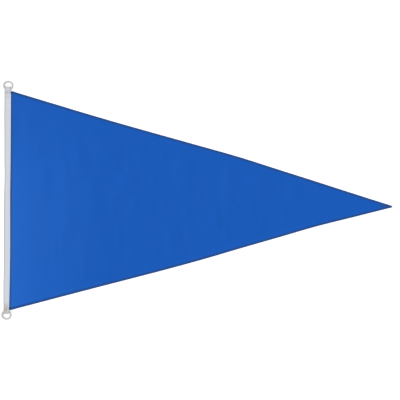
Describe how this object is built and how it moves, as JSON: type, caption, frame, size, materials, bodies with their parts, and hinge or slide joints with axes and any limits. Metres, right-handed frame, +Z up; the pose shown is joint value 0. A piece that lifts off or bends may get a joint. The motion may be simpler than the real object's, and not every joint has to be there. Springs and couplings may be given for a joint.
{
  "type": "beach flag",
  "caption": "Triangular pennant flag of plain blue cloth with hemmed edges, sewn into a white webbing heading that loops through a plastic ring at each end of the hoist.",
  "frame": {"origin": "on the floor, under the middle of the flag's box", "axes": "+X along the fly from the hoist to the tip, +Y up the hoist, +Z up from the floor out of the front face"},
  "size_m": [1.5112, 0.926, 0.0112],
  "materials": {
    "cloth": "plain woven polyester flag cloth, royal blue, soft matt with a faint sheen",
    "webbing": "white woven webbing, matt",
    "ring_plastic": "smooth moulded off-white plastic, satin"
  },
  "bodies": {
    "root": {"cloth": "cloth", "heading_tape": "webbing", "ring_top": "ring_plastic", "ring_bottom": "ring_plastic"}
  },
  "joints": []
}
